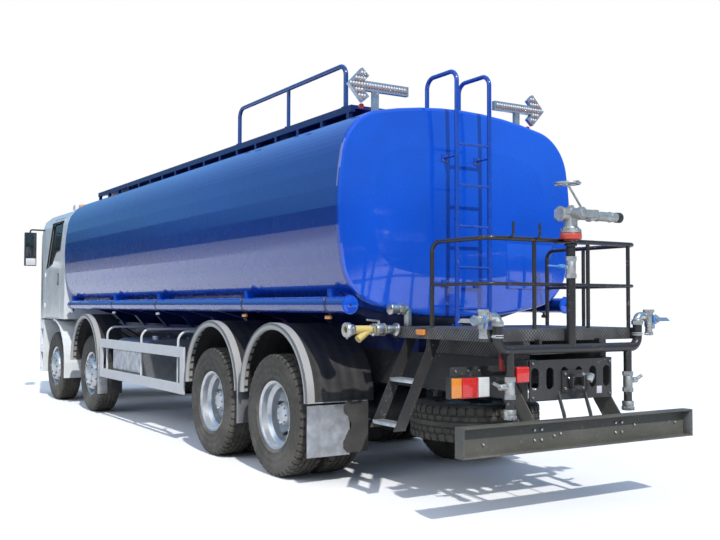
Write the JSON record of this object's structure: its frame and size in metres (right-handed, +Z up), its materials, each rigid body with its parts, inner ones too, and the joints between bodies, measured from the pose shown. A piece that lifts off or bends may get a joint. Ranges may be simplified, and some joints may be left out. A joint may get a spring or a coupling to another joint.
{
  "type": "eight-wheel water tanker truck",
  "caption": "Eight-wheel water tanker truck with steered front axle pair, twin rear wheels, tilting cab, rear work platform, spray bar and turning water monitor.",
  "frame": {"origin": "on the ground, at the centre of the vehicle's outer box", "axes": "+X forwards, +Y to the left side, +Z up"},
  "size_m": [11.62, 2.98, 3.611],
  "materials": {
    "black_paint": "satin black paint",
    "bar_paint": "dark olive grey paint",
    "blue_paint": "glossy metallic blue paint",
    "dark_blue_paint": "dark blue paint",
    "chequer_plate": "worn black chequer plate",
    "tyre_rubber": "dusty rubber",
    "lamp_plastic": "clear coloured plastic",
    "white_paint": "glossy white paint",
    "aluminium": "bare aluminium",
    "black_plastic": "matt black plastic",
    "valve_metal": "dull plated metal",
    "engine_iron": "painted casting",
    "glass": "tinted glass",
    "seat_fabric": "woven cloth"
  },
  "bodies": {
    "chassis": {"frame": "black_paint", "rear_crossmember": "black_paint", "tank_subframe": "dark_blue_paint", "tank": "blue_paint", "walkway": "dark_blue_paint", "top_handrail": "blue_paint", "rear_ladder": "blue_paint", "deck": "chequer_plate", "deck_railing": "black_paint", "deck_steps": "black_paint", "underrun_bar": "bar_paint", "spare_wheel": "tyre_rubber", "lamps": "lamp_plastic", "hose_tubes": "blue_paint", "side_guards": "white_paint", "fuel_tank": "aluminium", "service_boxes": "black_paint", "mudguards": "black_plastic", "mudflaps": "black_plastic", "spray_pipe": "black_paint", "spray_nozzles": "valve_metal", "hydrant": "valve_metal", "arrow_boards": "aluminium", "axle_beams": "black_paint", "leaf_springs": "black_paint", "engine": "engine_iron", "front_bumper": "white_paint", "cab_steps": "white_paint"},
    "cab": {"cab_shell": "white_paint", "windscreen": "glass", "seats": "seat_fabric", "dashboard": "black_plastic", "mirrors": "black_plastic", "beacon_bar": "lamp_plastic"},
    "left_door": {"door_left": "white_paint", "door_glass_left": "glass"},
    "right_door": {"door_right": "white_paint", "door_glass_right": "glass"},
    "lid": {"manhole_lid": "blue_paint"},
    "monitor_head": {"monitor_swivel": "valve_metal"},
    "monitor_gun": {"monitor_barrel": "valve_metal"},
    "knuckle_1_left": {"knuckle_1_left": "black_paint"},
    "road_wheel_1_left": {"wheel_1_left": "tyre_rubber"},
    "knuckle_1_right": {"knuckle_1_right": "black_paint"},
    "road_wheel_1_right": {"wheel_1_right": "tyre_rubber"},
    "knuckle_2_left": {"knuckle_2_left": "black_paint"},
    "road_wheel_2_left": {"wheel_2_left": "tyre_rubber"},
    "knuckle_2_right": {"knuckle_2_right": "black_paint"},
    "road_wheel_2_right": {"wheel_2_right": "tyre_rubber"},
    "twin_wheels_3_left": {"wheels_3_left": "tyre_rubber"},
    "twin_wheels_3_right": {"wheels_3_right": "tyre_rubber"},
    "twin_wheels_4_left": {"wheels_4_left": "tyre_rubber"},
    "twin_wheels_4_right": {"wheels_4_right": "tyre_rubber"}
  },
  "joints": [
    {"name": "steer_1_left", "type": "hinge", "parent": "chassis", "child": "knuckle_1_left", "pos_m": [4.462, 0.9, 0.531], "axis": [0, 0, 1], "range_deg": [-38, 38]},
    {"name": "roll_1_left", "type": "hinge", "parent": "knuckle_1_left", "child": "road_wheel_1_left", "pos_m": [4.462, 1.03, 0.531], "axis": [0, 1, 0], "continuous": true},
    {"name": "steer_1_right", "type": "hinge", "parent": "chassis", "child": "knuckle_1_right", "pos_m": [4.462, -0.9, 0.531], "axis": [0, 0, 1], "range_deg": [-38, 38]},
    {"name": "roll_1_right", "type": "hinge", "parent": "knuckle_1_right", "child": "road_wheel_1_right", "pos_m": [4.462, -1.03, 0.531], "axis": [0, 1, 0], "continuous": true},
    {"name": "steer_2_left", "type": "hinge", "parent": "chassis", "child": "knuckle_2_left", "pos_m": [2.525, 0.9, 0.531], "axis": [0, 0, 1], "range_deg": [-28, 28]},
    {"name": "roll_2_left", "type": "hinge", "parent": "knuckle_2_left", "child": "road_wheel_2_left", "pos_m": [2.525, 1.03, 0.531], "axis": [0, 1, 0], "continuous": true},
    {"name": "steer_2_right", "type": "hinge", "parent": "chassis", "child": "knuckle_2_right", "pos_m": [2.525, -0.9, 0.531], "axis": [0, 0, 1], "range_deg": [-28, 28]},
    {"name": "roll_2_right", "type": "hinge", "parent": "knuckle_2_right", "child": "road_wheel_2_right", "pos_m": [2.525, -1.03, 0.531], "axis": [0, 1, 0], "continuous": true},
    {"name": "roll_3_left", "type": "hinge", "parent": "chassis", "child": "twin_wheels_3_left", "pos_m": [-1.92, 0.926, 0.531], "axis": [0, 1, 0], "continuous": true},
    {"name": "roll_3_right", "type": "hinge", "parent": "chassis", "child": "twin_wheels_3_right", "pos_m": [-1.92, -0.926, 0.531], "axis": [0, 1, 0], "continuous": true},
    {"name": "roll_4_left", "type": "hinge", "parent": "chassis", "child": "twin_wheels_4_left", "pos_m": [-3.29, 0.926, 0.531], "axis": [0, 1, 0], "continuous": true},
    {"name": "roll_4_right", "type": "hinge", "parent": "chassis", "child": "twin_wheels_4_right", "pos_m": [-3.29, -0.926, 0.531], "axis": [0, 1, 0], "continuous": true},
    {"name": "cab_tilt", "type": "hinge", "parent": "chassis", "child": "cab", "pos_m": [5.66, 0, 1.06], "axis": [0, 1, 0], "range_deg": [0, 50]},
    {"name": "door_hinge_left", "type": "hinge", "parent": "cab", "child": "left_door", "pos_m": [5.003, 1.222, 1.8], "axis": [0, 0, -1], "range_deg": [0, 72]},
    {"name": "door_hinge_right", "type": "hinge", "parent": "cab", "child": "right_door", "pos_m": [5.003, -1.222, 1.8], "axis": [0, 0, 1], "range_deg": [0, 72]},
    {"name": "manhole_hinge", "type": "hinge", "parent": "chassis", "child": "lid", "pos_m": [-1.385, 0, 3.3353], "axis": [0, 1, 0], "range_deg": [0, 110]},
    {"name": "monitor_turn", "type": "hinge", "parent": "chassis", "child": "monitor_head", "pos_m": [-5.647, 0, 2.022], "axis": [0, 0, 1], "continuous": true},
    {"name": "monitor_lift", "type": "hinge", "parent": "monitor_head", "child": "monitor_gun", "pos_m": [-5.647, 0, 2.16], "axis": [-1, 0, 0], "range_deg": [-15, 70]}
  ],
  "couplings": [
    {"joint": "steer_1_left", "follows": "steer_1_right", "ratio": 1},
    {"joint": "steer_2_left", "follows": "steer_1_right", "ratio": 0.73},
    {"joint": "steer_2_right", "follows": "steer_1_right", "ratio": 0.73}
  ]
}
